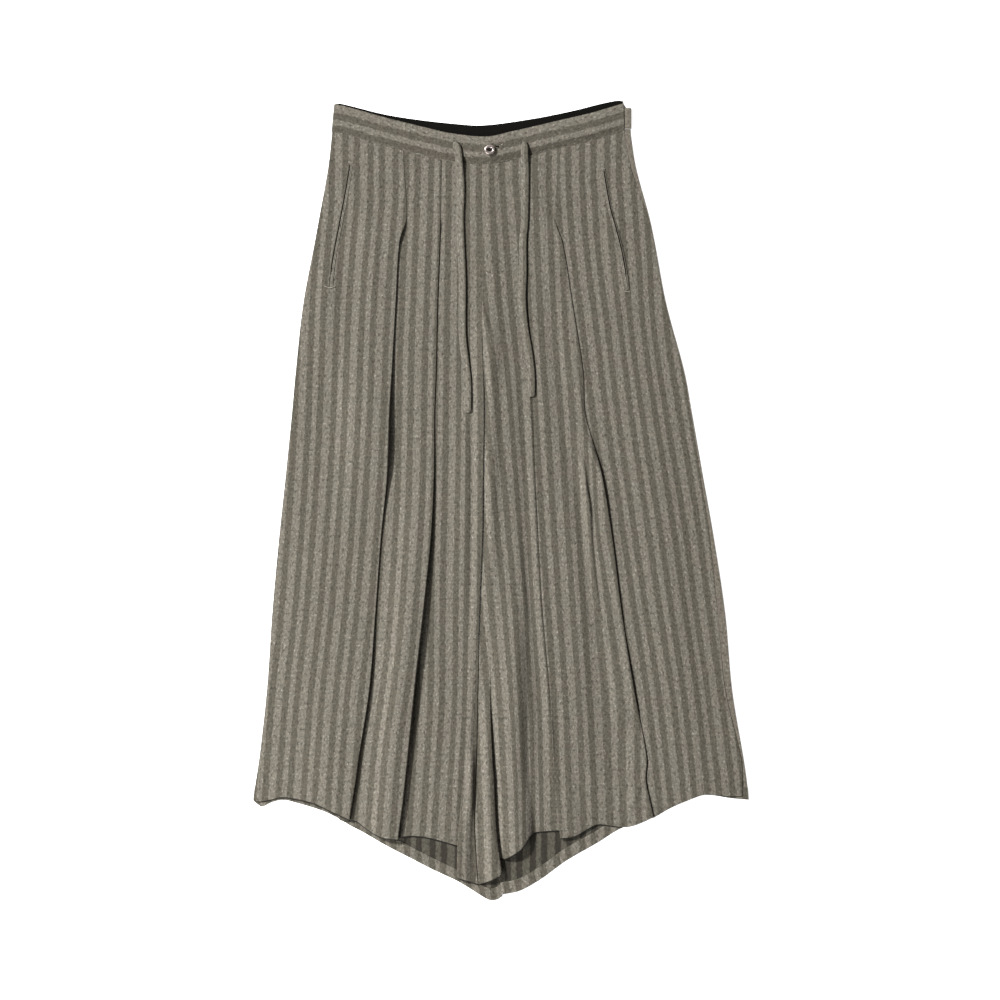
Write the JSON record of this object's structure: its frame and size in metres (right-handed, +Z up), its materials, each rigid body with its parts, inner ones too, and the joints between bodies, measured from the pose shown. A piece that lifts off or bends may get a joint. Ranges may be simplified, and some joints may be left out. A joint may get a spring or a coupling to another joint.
{
  "type": "hakama trousers",
  "caption": "Wide striped hakama-style trousers laid flat, with knife pleats, a buttoned waistband, hanging drawstring ties, slanted welt pockets and turned-up hems.",
  "frame": {"origin": "on the surface the trousers lie on, under the middle of their outline", "axes": "+Y towards the waist, +X towards the wearer's left, +Z up out of the front of the trousers"},
  "size_m": [0.6541, 1.0545, 0.0124],
  "materials": {
    "striped_suiting": "dry slubby weave with woven stripes",
    "black_facing": "matte plain weave",
    "button_metal": "polished nickel",
    "button_eye": "dark"
  },
  "bodies": {
    "root": {"back_leg_right": "striped_suiting", "back_leg_left": "striped_suiting", "front_leg_right": "striped_suiting", "front_leg_left": "striped_suiting", "waistband_back": "striped_suiting", "waist_facing": "black_facing", "waistband_right": "striped_suiting", "waistband_left": "striped_suiting", "pocket_welt_right": "striped_suiting", "pocket_welt_left": "striped_suiting", "tie_right": "striped_suiting", "tie_left": "striped_suiting", "button_ring": "button_metal", "button_eye": "button_eye"}
  },
  "joints": []
}
